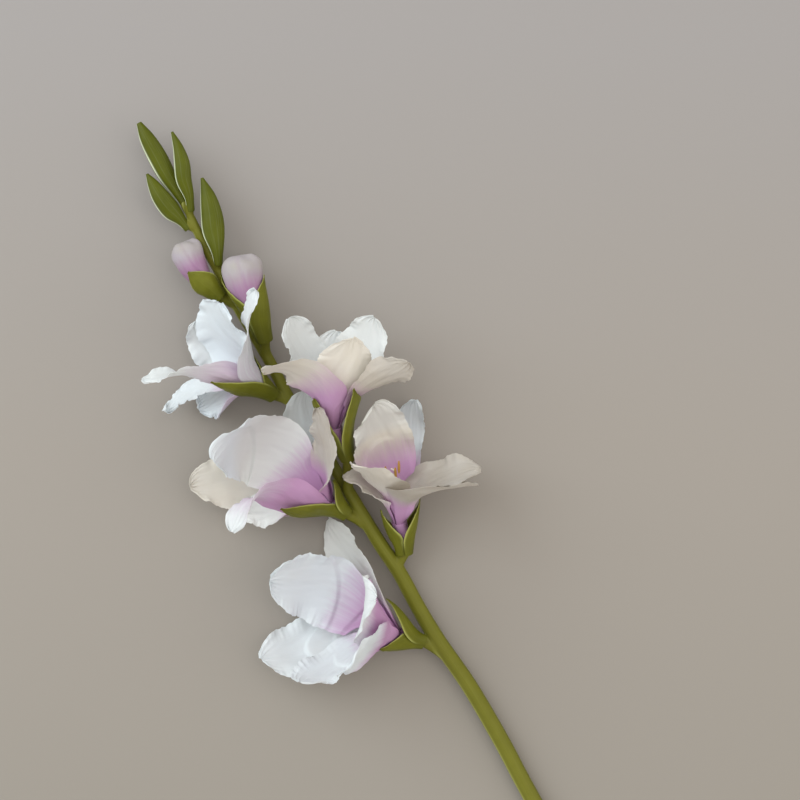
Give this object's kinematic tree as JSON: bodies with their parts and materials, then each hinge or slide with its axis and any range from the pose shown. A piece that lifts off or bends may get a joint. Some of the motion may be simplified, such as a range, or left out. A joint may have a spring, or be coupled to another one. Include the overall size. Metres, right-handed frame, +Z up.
{
  "type": "gladiolus flower stem",
  "caption": "Cut gladiolus stem lying on its side: open funnel flowers in two ranks, opening buds above them and closed green buds at the bent tip, for a vase or bouquet",
  "frame": {"origin": "centre of the bounding box in plan, on the surface that the stem lies on (z = 0)", "axes": "+Y along the stem from the cut end towards the tip, +Z up from the surface, +X to the right of the stem seen from above with the tip away from the viewer"},
  "size_m": [0.1867, 0.7153, 0.0975],
  "materials": {
    "tepal_white": "soft matte petal, translucent, faint veins, lilac blush towards the throat",
    "tube_lilac": "soft matte petal tube, lilac to purple",
    "stem_green": "smooth waxy olive green stalk",
    "bract_green": "satin olive green leaf with fine lengthwise veins",
    "stamen_yellow": "matte yellow-ochre anthers on pale filaments"
  },
  "bodies": {
    "root": {"bud_10": "bract_green", "bud_11": "bract_green", "bud_6_bract_inner": "bract_green", "bud_6_bract_outer": "bract_green", "bud_6_tepals": "tepal_white", "bud_7_bract_inner": "bract_green", "bud_7_tepals": "tepal_white", "bud_8": "bract_green", "bud_9": "bract_green", "floret_1_bract_inner": "bract_green", "floret_1_bract_outer": "bract_green", "floret_1_inner_tepal_1": "tepal_white", "floret_1_inner_tepal_2": "tepal_white", "floret_1_inner_tepal_3": "tepal_white", "floret_1_outer_tepal_1": "tepal_white", "floret_1_outer_tepal_2": "tepal_white", "floret_1_outer_tepal_3": "tepal_white", "floret_1_stamens": "stamen_yellow", "floret_1_tube": "tube_lilac", "floret_2_bract_inner": "bract_green", "floret_2_bract_outer": "bract_green", "floret_2_inner_tepal_1": "tepal_white", "floret_2_inner_tepal_2": "tepal_white", "floret_2_inner_tepal_3": "tepal_white", "floret_2_outer_tepal_1": "tepal_white", "floret_2_outer_tepal_2": "tepal_white", "floret_2_outer_tepal_3": "tepal_white", "floret_2_stamens": "stamen_yellow", "floret_2_tube": "tube_lilac", "floret_3_bract_inner": "bract_green", "floret_3_bract_outer": "bract_green", "floret_3_inner_tepal_1": "tepal_white", "floret_3_inner_tepal_2": "tepal_white", "floret_3_inner_tepal_3": "tepal_white", "floret_3_outer_tepal_1": "tepal_white", "floret_3_outer_tepal_2": "tepal_white", "floret_3_outer_tepal_3": "tepal_white", "floret_3_stamens": "stamen_yellow", "floret_3_tube": "tube_lilac", "floret_4_bract_inner": "bract_green", "floret_4_bract_outer": "bract_green", "floret_4_inner_tepal_1": "tepal_white", "floret_4_inner_tepal_2": "tepal_white", "floret_4_inner_tepal_3": "tepal_white", "floret_4_outer_tepal_1": "tepal_white", "floret_4_outer_tepal_2": "tepal_white", "floret_4_outer_tepal_3": "tepal_white", "floret_4_stamens": "stamen_yellow", "floret_4_tube": "tube_lilac", "floret_5_bract_inner": "bract_green", "floret_5_bract_outer": "bract_green", "floret_5_inner_tepal_1": "tepal_white", "floret_5_inner_tepal_2": "tepal_white", "floret_5_inner_tepal_3": "tepal_white", "floret_5_outer_tepal_1": "tepal_white", "floret_5_outer_tepal_2": "tepal_white", "floret_5_outer_tepal_3": "tepal_white", "floret_5_stamens": "stamen_yellow", "floret_5_tube": "tube_lilac", "stem": "stem_green"}
  },
  "joints": []
}
